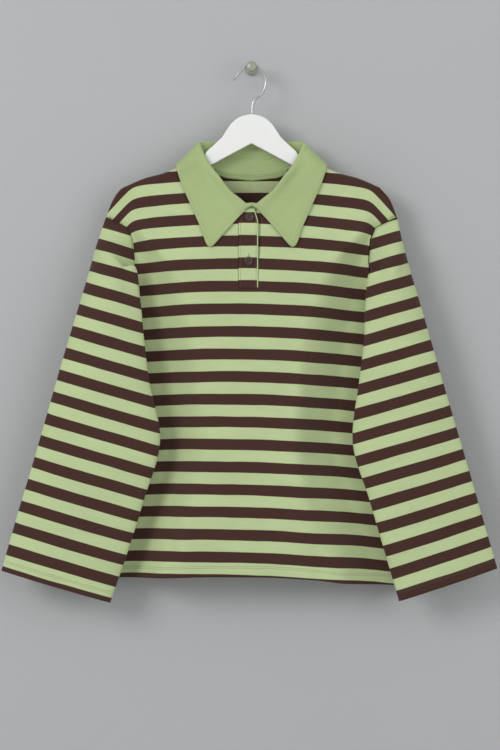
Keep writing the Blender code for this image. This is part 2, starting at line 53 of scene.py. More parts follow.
# %% Sizes of the cut
SHOULDER = {
    "half": (82, 95, 110, 139, 165, 190, 205, 217, 226),
    "drop": (142, 150, 158, 170, 177, 187.5, 196, 214, 237),
}
NECK_HALF, NECK_RISE, SHOULDER_TIP = 82.0, 0.5, 226.0
FRONT_NECK = {
    "half": (0, 8, 28, 46, 62, 74, 80, 82),
    "drop": (225, 224.5, 219.5, 209.5, 194, 170, 150, 142),
}
BACK_NECK = {"half": (0, 40, 68, 80, 82), "drop": (175.5, 171.5, 161, 150, 142)}
HEM = {
    "across": (-245, -211, -133, -76, -19, 39, 96, 139, 223, 245),
    "drop": (799, 800, 799, 797, 797, 798, 802, 808, 813, 814),
}
FRONT_EDGE = {
    "drop": (237, 246, 254, 272, 305, 360, 420, 447, 620, 830),
    "half": (226, 206, 192, 184.5, 181.5, 187, 215, 240, 243, 245),
    "depth": (0, -3, -6, -7, -7, -3, 10, 22, 22, 22),
}
BACK_EDGE = {
    "drop": (237, 262, 330, 400, 447, 620, 830),
    "half": (226, 217, 212, 221, 240, 243, 245),
    "depth": (0, 11, 20, 24, 22, 22, 22),
}
FRONT_FORM = {
    "drop": (140, 237, 272, 300, 345, 385, 424, 490, 587, 677, 742, 830),
    "turn_from": (178, 178, 158, 126, 102, 89, 78, 68, 60, 78, 100, 126),
    "turn_to": (204, 200, 190, 176, 165, 159, 152, 144, 130, 156, 182, 212),
    "beyond": (-9, -9, -6, -3, 3, 6, 9, 10, 10, 12, 13, 14),
}
RIDGE_DEPTH, RIDGE_ROUND, FRONT_SWELL, BACK_SWELL, SWELL_OVER = 9.0, 4.0, 26.0, 22.0, 160.0
EDGE_ROLL, ARMPIT_DROP, NOTCH_DROP = 14.0, 447.0, 349.6
NOTCH_LEFT, NOTCH_RIGHT = -20.4, 10.4
CLOTH, COLLAR_WALL, PLACKET_WALL, TAPE_WALL = 1.5, 2.2, 2.0, 1.0
print("body from drop", SHOULDER["drop"][0], "to", max(HEM["drop"]), "mm")


# %% [markdown]
# Three small helpers do most of the work: a soft step, a cubic through a table's rows, and a
# straight interpolation where a seam really turns a corner.

# %% Helpers for curves
def smooth(value):
    """Soft step 3 v^2 - 2 v^3, clipped to 0 and 1."""
    value = np.clip(value, 0.0, 1.0)
    return value * value * (3.0 - 2.0 * value)


def through(at, places, values):
    """Cubic through a table: each row's slope is the mean of the two chords beside it."""
    places, values = np.asarray(places, float), np.asarray(values, float)
    flat = values.ndim == 1
    values = values[:, None] if flat else values
    step = np.diff(places)[:, None]
    chord = np.diff(values, axis=0) / step
    slope = np.vstack([chord[:1], 0.5 * (chord[1:] + chord[:-1]), chord[-1:]])
    at = np.clip(np.asarray(at, float), places[0], places[-1])
    cell = np.clip(np.searchsorted(places, at, side="right") - 1, 0, len(places) - 2)
    part = ((at - places[cell]) / step[cell, 0])[..., None]
    square, cube = part ** 2, part ** 3
    result = values[cell] * (2 * cube - 3 * square + 1) + values[cell + 1] * (3 * square - 2 * cube)
    result += slope[cell] * step[cell] * (cube - 2 * square + part)
    result += slope[cell + 1] * step[cell] * (cube - square)
    return result[..., 0] if flat else result


def top_drop(half):
    """Drop of the hanger's ridge line; inside the neck it goes on as a straight rise."""
    inside = SHOULDER["drop"][0] - NECK_RISE * (NECK_HALF - half)
    return np.where(half < NECK_HALF, inside, through(half, SHOULDER["half"], SHOULDER["drop"]))


print("ridge at 139 mm:", float(top_drop(np.array(139.0))))

# %% [markdown]
# Hanging cloth shows a few long soft folds and many faint ones. Each is given as a row:
# where it starts and ends, how wide and how high. A ridge is positive and stands out to
# the viewer, a trough is negative. The profile across is a bell, and it fades at both ends.

# %% Folds, listed one by one
FOLD_COLUMNS = ("x0", "d0", "x1", "d1", "wide", "high")
FRONT_FOLDS = (
    (-128, 400, -148, 830, 13, 3.2), (-92, 330, -104, 830, 15, 2.2), (66, 380, 80, 830, 17, 2.8),
    (112, 300, 150, 830, 15, 3.4), (-112, 380, -125, 800, 7, -1.7), (92, 420, 108, 810, 8, -1.6),
    (-30, 430, -44, 790, 22, 1.3), (22, 520, 30, 815, 16, -1.2), (-165, 262, -118, 345, 9, 1.9),
    (-160, 285, -128, 330, 6, -1.2), (162, 258, 118, 352, 10, 2.1), (157, 290, 125, 340, 6, -1.3),
    (-170, 236, -104, 262, 11, 1.3), (168, 238, 100, 270, 11, 1.2), (-122, 600, -60, 640, 13, 0.9),
    (118, 560, 64, 610, 13, 0.9), (-105, 470, -70, 440, 12, 0.8), (36, 290, 60, 410, 14, 1.1),
    (-48, 300, -70, 420, 14, 0.9), (140, 690, 84, 742, 12, 0.9), (-150, 700, -96, 752, 12, 1.0),
)
BACK_FOLDS = (
    (-104, 280, -138, 830, 20, 3.4), (18, 400, 34, 830, 24, 2.6), (112, 260, 140, 830, 18, 3.0),
    (-60, 330, -76, 800, 14, -1.5), (72, 380, 80, 810, 13, -1.4), (-180, 300, -150, 380, 11, 1.6),
    (178, 300, 150, 390, 11, 1.6), (-20, 230, -34, 420, 18, 1.2), (190, 480, 176, 760, 12, 1.6),
    (-196, 470, -184, 780, 12, 1.7), (60, 210, 96, 290, 14, 1.1), (-66, 215, -100, 300, 14, 1.0),
)


def crease_height(folds, across, drop):
    """Sum of bells round straight lines: high * exp(-(distance / wide)^2), faded at the ends."""
    height = np.zeros(np.broadcast(across, drop).shape)
    for x0, d0, x1, d1, wide, high in folds:
        run = math.hypot(x1 - x0, d1 - d0)
        ux, ud = (x1 - x0) / run, (d1 - d0) / run
        along = ((across - x0) * ux + (drop - d0) * ud) / run
        aside = (across - x0) * ud - (drop - d0) * ux
        aside = aside + 0.12 * wide * np.sin(along * 9.0 + x0)
        end_fade = smooth((1.0 - along) / 0.3) if d1 < 795 else 1.0
        fade = smooth(along / 0.3) * end_fade
        height = height + high * fade * np.exp(-((aside / wide) ** 2))
    return height


print("folds placed:", len(FRONT_FOLDS) + len(BACK_FOLDS))


# %% [markdown]
# The depth of the cloth. It rolls over the hanger's ridge, swells forward over the chest or
# back over the shoulder blades, and the front turns back beside the sleeves, which hang in
# front of it. Front and back are the same idea with a different sign.

# %% Depth of the front and back
def ridge_turn(below):
    """Quarter ellipse: 0 on the ridge and 1 once the cloth has turned down."""
    part = np.clip(below / RIDGE_ROUND, 0.0, 1.0)
    return np.sqrt(1.0 - (1.0 - part) ** 2)


def front_cover(across, drop, creased=True):
    """Depth of the front before its turn over the ridge: forward in the middle, back beyond."""
    half = np.abs(across)
    forward = RIDGE_DEPTH + FRONT_SWELL * smooth((drop - top_drop(half)) / SWELL_OVER)
    if creased:
        forward = forward + crease_height(FRONT_FOLDS, across, drop)
    form = [through(drop, FRONT_FORM["drop"], FRONT_FORM[k]) for k in ("turn_from", "turn_to", "beyond")]
    turned = smooth((half - form[0]) / (form[1] - form[0]))
    return -forward * (1 - turned) + form[2] * turned


def front_depth(across, drop, creased=True):
    return front_cover(across, drop, creased) * ridge_turn(drop - top_drop(np.abs(across)))


def back_cover(across, drop):
    """Depth of the back before its turn over the ridge: 9 mm at the ridge, 31 mm lower down."""
    backward = RIDGE_DEPTH + BACK_SWELL * smooth((drop - top_drop(np.abs(across))) / SWELL_OVER)
    return backward + crease_height(BACK_FOLDS, across, drop)


def back_depth(across, drop):
    return back_cover(across, drop) * ridge_turn(drop - top_drop(np.abs(across)))


print("chest depth:", round(float(front_depth(np.array(0.0), np.array(400.0))), 1), "mm")


# %% [markdown]
# Every cloth piece is a grid of points turned into one mesh. Its UV map is in metres: U runs
# across the cloth and V along the direction in which the stripes follow each other. The
# stripe pattern then follows the cloth, as yarn does. Solidify gives the wall its thickness.

# %% Grid to cloth
def stack_mm(across, depth, drop):
    """World points in metres from three millimetre fields."""
    across, depth, drop = np.broadcast_arrays(across, depth, drop)
    return np.stack([across, depth, -drop], axis=-1) * MM


def new_piece(name, points, faces, material):
    """A smooth mesh object over points and faces, riding on the one body."""
    mesh = bpy.data.meshes.new(name)
    mesh.from_pydata(points.tolist(), [], faces)
    mesh.shade_smooth()
    mesh.materials.append(material)
    piece = bpy.data.objects.new(name, mesh)
    bpy.context.scene.collection.objects.link(piece)
    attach(piece, "root")
    return piece


def grid_piece(name, points, u, v, material, wall, ring=False, keep=None):
    """A mesh over a grid of points; ring joins its last column to the first."""
    rows, columns = points.shape[:2]
    index = np.arange(rows * columns).reshape(rows, columns)
    if ring:
        index = np.hstack([index, index[:, :1]])
    quad = np.stack([index[:-1, :-1], index[1:, :-1], index[1:, 1:], index[:-1, 1:]], axis=-1)
    uv = np.stack(np.broadcast_arrays(u, v), axis=-1)
    corner = np.stack([uv[:-1, :-1], uv[1:, :-1], uv[1:, 1:], uv[:-1, 1:]], axis=2)
    if keep is None:
        keep = np.ones(quad.shape[:2], bool)
    quad, corner = quad[keep], corner[keep]
    used, quad = np.unique(quad, return_inverse=True)
    quad = quad.reshape(-1, 4)
    piece = new_piece(name, points.reshape(-1, 3)[used], quad.tolist(), material)
    layer = piece.data.uv_layers.new(name="cloth")
    layer.data.foreach_set("uv", corner.reshape(-1).astype(np.float32))
    solid = piece.modifiers.new("wall", "SOLIDIFY")
    solid.thickness = wall * MM
    solid.offset = 0.0
    return piece


def area_of(points, ring=False):
    """Area of a grid in square metres, from the cross products of its quads' diagonals."""
    if ring:
        points = np.concatenate([points, points[:, :1]], axis=1)
    one = points[1:, 1:] - points[:-1, :-1]
    two = points[1:, :-1] - points[:-1, 1:]
    return float(0.5 * np.linalg.norm(np.cross(one, two), axis=-1).sum())


# %% [markdown]
# The knit. The photo shows a matte, fine jersey in sage green with dark brown stripes 17 mm
# wide, 35 mm from one to the next, and faint streaks along the rows where the yarn varies.
# A material reads the piece's UV map: V decides the stripe, and tiny waves in U and V raise
# the stitches. A little sheen gives the soft edge that knitted cotton has.

# %% Knit material
PITCH = 35.05
BROWN_SHARE = 0.486
STRIPE_BLUR, STRIPE_WANDER = 0.012, 0.0022
WALE, COURSE, RIB_COURSE = 0.00125, 0.00105, 0.0016
GREEN = (0.425, 0.505, 0.262, 1.0)
GREEN_COLLAR = (0.330, 0.408, 0.186, 1.0)
BROWN = (0.049, 0.0185, 0.0140, 1.0)


class Graph:
    """A short way to add shader nodes and join them by name."""

    def __init__(self, name):
        self.material = bpy.data.materials.new(name)
        self.material.use_nodes = True
        self.tree = self.material.node_tree
        self.shader = self.tree.nodes["Principled BSDF"]

    def add(self, kind, **settings):
        node = self.tree.nodes.new(kind)
        for key, value in settings.items():
            setattr(node, key, value)
        return node

    def put(self, target, value):
        if isinstance(value, bpy.types.NodeSocket):
            self.tree.links.new(value, target)
        else:
            target.default_value = value

    def math(self, operation, one, two=None, clamp=False):
        node = self.add("ShaderNodeMath", operation=operation, use_clamp=clamp)
        self.put(node.inputs[0], one)
        if two is not None:
            self.put(node.inputs[1], two)
        return node.outputs[0]

    def soft_step(self, value, low, high):
        node = self.add("ShaderNodeMapRange", interpolation_type="SMOOTHSTEP")
        self.put(node.inputs["Value"], value)
        node.inputs["From Min"].default_value = low
        node.inputs["From Max"].default_value = high
        return node.outputs["Result"]

    def mix(self, share, one, two):
        node = self.add("ShaderNodeMix", data_type="RGBA")
        self.put(node.inputs["Factor"], share)
        self.put(node.inputs["A"], one)
        self.put(node.inputs["B"], two)
        return node.outputs["Result"]

    def scaled(self, vector, factors):
        node = self.add("ShaderNodeMapping")
        self.put(node.inputs["Vector"], vector)
        node.inputs["Scale"].default_value = factors
        return node.outputs["Vector"]

    def noise(self, vector, scale, detail=2.0, rough=0.5):
        node = self.add("ShaderNodeTexNoise")
        self.put(node.inputs["Vector"], vector)
        node.inputs["Scale"].default_value = scale
        node.inputs["Detail"].default_value = detail
        node.inputs["Roughness"].default_value = rough
        return node.outputs["Fac"]

    def object_place(self):
        return self.add("ShaderNodeTexCoord").outputs["Object"]

    def two_tones(self, share, colour, dimmer):
        """Base colour between the colour times dimmer and the full colour."""
        dim = tuple(dimmer * c for c in colour[:3]) + (1,)
        self.put(self.shader.inputs["Base Color"], self.mix(share, dim, colour))

    def bump(self, height, strength, distance):
        """Relief of the shading from a height; distance is in metres."""
        node = self.add("ShaderNodeBump")
        node.inputs["Strength"].default_value = strength
        node.inputs["Distance"].default_value = distance
        self.put(node.inputs["Height"], height)
        self.put(self.shader.inputs["Normal"], node.outputs["Normal"])

    def matte(self, rough):
        self.shader.inputs["Roughness"].default_value = rough


def knit(name, striped, shift=0.0, rib=False):
    """Jersey in the UV map's metres: stripes along V, stitches as waves in U and V."""
    g = Graph(name)
    place = g.add("ShaderNodeUVMap", uv_map="cloth").outputs["UV"]
    split = g.add("ShaderNodeSeparateXYZ")
    g.put(split.inputs[0], place)
    across, along = split.outputs["X"], split.outputs["Y"]
    streak = g.noise(g.scaled(place, (38.0, 1150.0, 1.0)), 1.0, 3.0, 0.6)
    broad = g.noise(g.scaled(place, (9.0, 22.0, 1.0)), 1.0, 2.0)
    streaky = g.math("ADD", g.math("MULTIPLY", streak, 0.28), 0.86)
    cloudy = g.math("ADD", g.math("MULTIPLY", broad, 0.22), 0.89)
    light = g.math("MULTIPLY", streaky, cloudy)
    if striped:
        uneven = g.math("SUBTRACT", g.noise(g.scaled(place, (16, 30, 1)), 1.0), 0.5)
        wander = g.math("MULTIPLY", uneven, STRIPE_WANDER)
        moved = g.math("ADD", g.math("ADD", along, shift), wander)
        turn = g.math("FRACT", g.math("DIVIDE", moved, PITCH * MM))
        off = g.math("ABSOLUTE", g.math("SUBTRACT", turn, 0.5))
        edge = 0.5 * BROWN_SHARE
        green = g.soft_step(off, edge - STRIPE_BLUR, edge + STRIPE_BLUR)
        tint = g.mix(g.math("SUBTRACT", 1.0, green), GREEN, BROWN)
    else:
        tint = GREEN_COLLAR[:3]
    shaded = g.add("ShaderNodeVectorMath", operation="SCALE")
    g.put(shaded.inputs[0], tint)
    g.put(shaded.inputs["Scale"], light)
    g.put(g.shader.inputs["Base Color"], shaded.outputs[0])
    row, strong = (RIB_COURSE, 0.9) if rib else (COURSE, 0.5)
    wale = g.math("SINE", g.math("MULTIPLY", across, 2 * math.pi / WALE))
    course = g.math("SINE", g.math("MULTIPLY", along, 2 * math.pi / row))
    stitch = g.math("ADD", g.math("MULTIPLY", wale, 0.5), g.math("MULTIPLY", course, strong))
    fuzz = g.noise(g.scaled(place, (700, 1500, 1)), 1.0, 3.0)
    g.bump(g.math("ADD", stitch, g.math("MULTIPLY", fuzz, 1.6)), 0.35, 0.00028)
    g.matte(0.93)
    g.shader.inputs["Specular IOR Level"].default_value = 0.22
    g.shader.inputs["Sheen Weight"].default_value = 0.10
    g.shader.inputs["Sheen Roughness"].default_value = 0.55
    g.shader.inputs["Sheen Tint"].default_value = (0.85, 0.88, 0.75, 1.0)
    return g.material


body_knit = knit("striped_jersey", striped=True)
lap_knit = knit("striped_jersey_lap", striped=True, shift=0.0012)
collar_knit = knit("plain_collar_knit", striped=False, rib=True)
print("knits:", body_knit.name, lap_knit.name, collar_knit.name)

# %% [markdown]
# The stripes hang: they lie level in the middle of the chest and drop towards the sides, more
# on the viewer's right. The sag is a parabola across plus a slope, both changing from the
# shoulder to the hem. V is the drop less that sag, counted from a brown stripe's middle.

# %% Stripe line of the body
STRIPE_DROP = 276.2
SAG_AT = 162.75


def stripe_v(across, drop):
    """V in metres: drop - sag, shifted so that a whole number and a half is a brown middle."""
    share = np.clip((drop - 200.0) / 600.0, 0, 1)
    part = across / SAG_AT
    sag = (9.1 - 4.8 * share) * part ** 2 + (1.5 + 4.5 * share) * part
    # At the drooping shoulder the stripes follow the cloth over the arm, at about 45 degrees.
    beyond = np.abs(across) - 186.0
    sag = sag + smooth((300.0 - drop) / 40.0) * 0.5 * (beyond + np.sqrt(beyond ** 2 + 60.0))
    return (drop - sag - STRIPE_DROP + 0.5 * PITCH) * MM


print("V at the chest:", round(float(stripe_v(0.0, 276.2)), 4))

# %% [markdown]
# The front and back panels. Columns stand upright near the placket and lean towards the side
# seams in proportion, and rows run from the neckline or ridge to the hem. The edge rolls
# inwards over 14 mm to meet the other panel's edge at the seam.


# %% Panels
def panel(columns, rows_upper, rows_lower, neck, edge, depth_of, sign):
    """Across, depth and drop fields of a body panel on a grid."""
    half = np.abs(columns)
    head = np.where(half < NECK_HALF, np.interp(half, neck["half"], neck["drop"]), top_drop(half))
    foot = through(columns, HEM["across"], HEM["drop"])
    turn = np.array([0.0, 0.12, 0.45, 1.0, 1.7, 2.7, 4.2])[:, None]
    roll = head + turn
    share = np.linspace(0, 1, rows_upper + 1)[1:, None] ** 1.15
    upper = roll[-1] + (NOTCH_DROP - roll[-1]) * share
    lower = NOTCH_DROP + (foot - NOTCH_DROP) * np.linspace(0, 1, rows_lower + 1)[1:, None]
    drop = np.vstack([roll, upper, lower])
    reach = np.interp(drop, edge["drop"], edge["half"])
    lean = np.clip((half - 28.0) / (SHOULDER_TIP - 28.0), 0, 1)
    wide = half + (reach - SHOULDER_TIP) * lean
    across = np.sign(columns) * wide
    depth = depth_of(across, drop)
    seam = np.interp(drop, edge["drop"], edge["depth"]) + sign * 0.8
    inset = np.clip((reach - wide) / EDGE_ROLL, 0, 1)
    depth = depth + (seam - depth) * (1.0 - np.sqrt(1.0 - (1.0 - inset) ** 2))
    ridge = (drop - top_drop(np.minimum(half, SHOULDER_TIP)) < 0.01) & (half >= NECK_HALF)
    return across, np.where(ridge, sign * 0.45, depth), drop


def side_columns(inner, count, keep=()):
    """Half widths from inner to the shoulder tip, closer near the tip where the edge rolls."""
    part = np.linspace(0, 1, count)
    spread = inner + (SHOULDER_TIP - inner) * (1 - (1 - part) ** 1.35)
    return np.unique(np.concatenate([spread, np.array(keep, float)]))


right = side_columns(22.0, 62, keep=(NECK_HALF, 80.0, 74.0))
middle = np.array([NOTCH_LEFT, -13, -5, 3, NOTCH_RIGHT, 13, 17])
front_columns = np.concatenate([-right[::-1], middle, right])
across, depth, drop = panel(front_columns, 46, 104, FRONT_NECK, FRONT_EDGE, front_depth, -1)
gape = np.interp(drop, (225, 240, 290, 312, 350), (4.2, 4.0, 3.4, 0.4, 0.0))
near = np.clip(1.0 - (across - NOTCH_RIGHT) / 40.0, 0, 1) * (across > NOTCH_RIGHT - 0.01)
lapped = across + gape * near
keep = np.ones((drop.shape[0] - 1, drop.shape[1] - 1), bool)
notch_from = int(np.argmin(np.abs(front_columns - NOTCH_LEFT)))
notch_to = int(np.argmin(np.abs(front_columns - NOTCH_RIGHT)))
keep[:6 + 46, notch_from:notch_to] = False
front_points = stack_mm(lapped, depth, drop)
front = grid_piece(
    "front_panel", front_points, lapped * MM, stripe_v(lapped, drop), body_knit, CLOTH, keep=keep)
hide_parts("front_body")
print("front panel:", len(front.data.polygons), "quads,", round(area_of(front_points), 3), "m2")

right = side_columns(2.0, 62, keep=(NECK_HALF, 80.0))
back_columns = np.concatenate([-right[::-1], [0.0], right])
across, depth, drop = panel(back_columns, 30, 84, BACK_NECK, BACK_EDGE, back_depth, 1)
back_points = stack_mm(across, depth, drop)
back = grid_piece("back_panel", back_points, across * MM, stripe_v(across, drop), body_knit, CLOTH)
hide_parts("back_body")
print("back panel:", len(back.data.polygons), "quads,", round(area_of(back_points), 3), "m2")

# %% [markdown]
# The sleeves. A knitted sleeve hangs as a soft flat tube. Its sections are a short table, from
# just below the armhole to the cuff: the outer edge, the inner fold, the underarm seam and
# three depths. The first ring follows the armhole seam, and a cubic carries every point of
# the ring down the sleeve. The stripes run square to the outer edge.

# %% Sleeve sections
SECTION_COLUMNS = ("outer", "fold", "under", "front", "back", "tuck")
RIGHT_SLEEVE = (
    ((233, 270), (189, 340), (243, 458), -30, 18, 5),
    ((246, 320), (179, 385), (237, 472), -38, 14, 0),
    ((262, 375), (176, 425), (215, 490), -41, 2, -4),
    ((285, 455), (168, 490), (184, 512), -42, -8, -9),
    ((310, 541), (159, 587), (168, 584), -41, -11, -13),
    ((337, 632), (185, 677), (194, 674), -39, -11, -13),
    ((356, 698), (204, 742), (213, 739), -37, -11, -13),
    ((381, 784), (231, 834), (240, 831), -35, -11, -13),
)
LEFT_SLEEVE = (
    ((237, 270), (186, 332), (243, 458), -31, 18, 5),
    ((251, 320), (175, 378), (237, 472), -39, 14, 0),
    ((267, 375), (168, 428), (212, 490), -42, 2, -4),
    ((291, 455), (158, 498), (176, 514), -43, -8, -9),
    ((313, 532), (144, 581), (153, 578), -42, -11, -13),
    ((343, 636), (172, 686), (181, 683), -40, -11, -13),
    ((359, 688), (188, 738), (197, 735), -38, -11, -13),
    ((387.5, 787.5), (221.5, 836), (230, 833), -36, -11, -13),
)
SLEEVE_PITCH = 35.3
RING_PLACES = np.array([0.0, 0.14, 0.28, 0.40, 0.5, 0.68, 0.85, 1.0])
SIDES = 104
RINGS = 150
FOLD_FORWARD = 0.66
LEFT_CREASES = (
    (0.20, 0.30, 0.62, 0.36, 0.05, 1.6), (0.52, 0.27, 0.64, 0.42, 0.045, 1.5),
    (0.58, 0.22, 0.70, 0.40, 0.04, -1.0), (0.66, 0.12, 0.98, 0.16, 0.05, 1.3),
    (0.30, 0.10, 0.55, 0.20, 0.06, 1.2), (0.70, 0.33, 0.99, 0.30, 0.05, 1.2),
    (0.25, 0.70, 0.80, 0.78, 0.06, 1.5), (0.50, 0.62, 0.70, 0.60, 0.05, 1.2),
)
RIGHT_CREASES = (
    (0.22, 0.24, 0.60, 0.33, 0.05, 1.7), (0.53, 0.30, 0.66, 0.43, 0.045, 1.4),
    (0.44, 0.38, 0.62, 0.30, 0.04, -1.1), (0.68, 0.20, 0.99, 0.14, 0.055, 1.4),
    (0.18, 0.08, 0.46, 0.14, 0.06, 1.1), (0.72, 0.36, 0.98, 0.35, 0.05, 1.0),
    (0.28, 0.80, 0.78, 0.72, 0.06, 1.5), (0.55, 0.66, 0.75, 0.58, 0.05, 1.1),
)


def seam_run(edge, count):
    """Evenly spaced points down an armhole seam."""
    drop = np.linspace(SHOULDER["drop"][-1], ARMPIT_DROP, 301)
    run = np.stack([np.interp(drop, edge["drop"], edge[k]) for k in ("half", "depth")] + [drop], axis=-1)
    length = np.concatenate([[0], np.cumsum(np.linalg.norm(np.diff(run, axis=0), axis=1))])
    return through(np.linspace(0, length[-1], count), length[::6], run[::6])


def armhole_ring(clear):
    """First ring: the two seams moved clear mm out from the body, the front one also forward."""
    half = SIDES // 2
    front_seam, rear_seam = seam_run(FRONT_EDGE, half + 1), seam_run(BACK_EDGE, half + 1)
    for seam, forward in ((front_seam, -1.4 * clear), (rear_seam, 0.3 * clear)):
        along = np.gradient(seam[:, [0, 2]], axis=0)
        along /= np.linalg.norm(along, axis=1, keepdims=True)
        seam[:, 0] += clear * along[:, 1]
        seam[:, 2] -= clear * along[:, 0]
        seam[:, 1] += forward * np.sin(np.linspace(0, math.pi, len(seam))) ** 0.5
    front_seam[0] = 0.5 * (front_seam[0] + rear_seam[0])
    return np.vstack([front_seam, rear_seam[-2:0:-1]])


def section_ring(values):
    """Periodic cubic through outer edge, front, inner fold, underarm and back."""
    row = dict(zip(SECTION_COLUMNS, values))
    edge_depth = 0.5 * (row["front"] + row["back"])
    fold_depth = row["front"] * FOLD_FORWARD + row["back"] * (1 - FOLD_FORWARD)
    outer = np.array([row["outer"][0], edge_depth, row["outer"][1]])
    fold = np.array([row["fold"][0], fold_depth, row["fold"][1]])
    under = np.array([row["under"][0], row["tuck"], row["under"][1]])
    mids = [outer + part * (fold - outer) for part in (0.30, 0.72)]
    mids += [under + part * (outer - under) for part in (0.35, 0.75)]
    for point, level in zip(mids, (row["front"], row["front"], row["back"], row["back"])):
        point[1] = level
    knots = np.array([outer, mids[0], mids[1], fold, under, mids[2], mids[3], outer])
    wrapped = np.vstack([knots[:-1], knots, knots[1:]])
    spots = np.concatenate([RING_PLACES[:-1] - 1, RING_PLACES, RING_PLACES[1:] + 1])
    return through(np.arange(SIDES) / SIDES, spots, wrapped)


def ring_creases(creases, along, around):
    """Bells round lines drawn in the sleeve's own shares of length and girth."""
    height = np.zeros(np.broadcast(along, around).shape)
    for a0, r0, a1, r1, wide, high in creases:
        part = (along - a0) / (a1 - a0)
        line = r0 + (r1 - r0) * part + 0.008 * np.sin(part * 8 + a0 * 40)
        fade = smooth(part / 0.3) * (smooth((1 - part) / 0.3) if a1 < 0.97 else 1.0)
        height = height + high * fade * np.exp(-(((around - line) / wide) ** 2))
    return height


def sleeve(name, sections, side, creases, cuff_v, clear, node):
    """Tube of rings; V counts up from the cuff, square to it, and higher up along the arm."""
    rings = np.array([armhole_ring(clear)] + [section_ring(row) for row in sections])
    runs = (rings[:, 0], rings.mean(axis=1))
    steps = sum(np.linalg.norm(np.diff(run, axis=0), axis=1) for run in runs)
    length = np.concatenate([[0], np.cumsum(steps)])
    at = np.linspace(0, length[-1], RINGS)
    tube = through(at, length, rings.reshape(len(rings), -1)).reshape(RINGS, SIDES, 3)
    along = (at / length[-1])[:, None]
    around = (np.arange(SIDES) / SIDES)[None, :]
    hub = tube.mean(axis=1, keepdims=True)
    facing = np.where(tube[..., 1] < hub[..., 1], -1.0, 1.0)
    tube[..., 1] += facing * ring_creases(creases, along, around)
    outer_top, outer_end = np.array(sections[0][0], float), np.array(sections[-1][0], float)
    cuff = outer_end - np.array(sections[-1][1], float)
    arm_lean = math.atan2(outer_end[0] - outer_top[0], outer_end[1] - outer_top[1])
    cuff_lean = math.atan2(-cuff[1], cuff[0])
    lean = arm_lean + (cuff_lean - arm_lean) * smooth((along - 0.6) / 0.4)
    reach = (tube[..., 0] - outer_end[0]) * np.sin(lean) + (tube[..., 2] - outer_end[1]) * np.cos(lean)
    v = (-reach * PITCH / SLEEVE_PITCH + cuff_v) * MM
    v = np.concatenate([v, v[:, :1]], axis=1)
    u = np.broadcast_to(np.linspace(0, 0.36, SIDES + 1), v.shape)
    points = stack_mm(side * tube[..., 0], tube[..., 1], tube[..., 2])
    piece = grid_piece(name, points, u, v, body_knit, CLOTH, ring=True)
    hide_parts(node)
    print(name, len(piece.data.polygons), "quads,", round(area_of(points, ring=True), 3), "m2")
    return tube


# Each sleeve has its own stripe start at the cuff and gap at the armhole, and prints its own area.
left_tube = sleeve(
    "left_sleeve", LEFT_SLEEVE, -1, LEFT_CREASES,
    cuff_v=0.5 * PITCH + 0.8, clear=0.4, node="sleeve_left")
right_tube = sleeve(
    "right_sleeve", RIGHT_SLEEVE, 1, RIGHT_CREASES,
    cuff_v=0.5 * PITCH - 8.3, clear=1.9, node="sleeve_right")

# %% [markdown]
# The collar is one piece that stands up from the neck seam, rolls over and falls. Each station
# round the neck gives the seam, the top of the roll and the outer edge. The line between
# them is worked out station by station and then carried smoothly round.

# %% Collar
COLLAR_COLUMNS = ("seam", "roll", "fall", "turn", "inset")
COLLAR = (
    ((0.8, 225), (0.8, 217.5, -33), (8.5, 221), 0, 0),
    ((8, 224.5), (8, 218.5, -33), (61.5, 285), 0, 1),
    ((28, 219.5), (20, 209, -30), (79, 254), 0, 1),
    ((46, 209.5), (33, 198, -27), (91, 227), 10, 1),
    ((62, 194), (50, 175, -21), (102, 202), 25, 1),
    ((74, 170), (65, 155, -14), (112, 177), 50, 1),
    ((80, 150), (75, 136, -9), (116, 163), 70, 2.4),
    ((82, 142), (80, 122, 0), (117, 155), 90, 2.4),
    ((80, 150), (77, 120, 9), (115, 160.5), 110, 2.4),
    ((68, 161), (66, 119, 14), (100, 174), 140, 1),
    ((40, 171.5), (40, 119, 17), (62, 189), 165, 1),
    ((0, 175.5), (0, 119, 18), (0, 197), 180, 0),
)
RIDGE_STATION, COLLAR_LOOP, COLLAR_LIFT = 7, 5.0, 3.4


def collar_line(number, values):
    """Seam, stand, roll and fall of one station, as eleven points."""
    row = dict(zip(COLLAR_COLUMNS, values))
    angle = math.radians(row["turn"])
    outward = np.array([math.sin(angle), -math.cos(angle), 0.0])
    seam_half, seam_drop = (np.array(float(v)) for v in row["seam"])
    front, ridge = number < RIDGE_STATION, number == RIDGE_STATION
    level = front_depth(seam_half, seam_drop, False) if front else back_depth(seam_half, seam_drop)
    level = 0.0 if ridge else float(level)
    seam = np.array([seam_half - row["inset"], level, seam_drop - 1.2])
    roll = np.array([row["roll"][0], row["roll"][2], row["roll"][1]], float)
    down = np.array([0.0, 0.0, 2.4])
    inner, outer = roll + down, roll + outward * COLLAR_LOOP + down
    line = [seam, 0.5 * (seam + inner), inner]
    line += [roll + outward * s * COLLAR_LOOP + k * down for s, k in ((0.15, 0.3), (0.5, 0.0), (0.85, 0.3))]
    for part in (0.0, 0.2, 0.45, 0.72, 1.0):
        half = outer[0] + (row["fall"][0] - outer[0]) * part
        drop_here = outer[2] + (row["fall"][1] - outer[2]) * part
        spot = (np.array(half), np.array(drop_here))
        lying = float(front_cover(*spot, False)) if front else float(back_cover(*spot))
        lying += (-COLLAR_LIFT if front else COLLAR_LIFT + 1.0) * (1.0 + 0.35 * math.sin(math.pi * part))
        lying = 0.0 if ridge else lying
        line.append(np.array([half, outer[1] + (lying - outer[1]) * min(1.0, part / 0.2), drop_here]))
    return np.array(line)


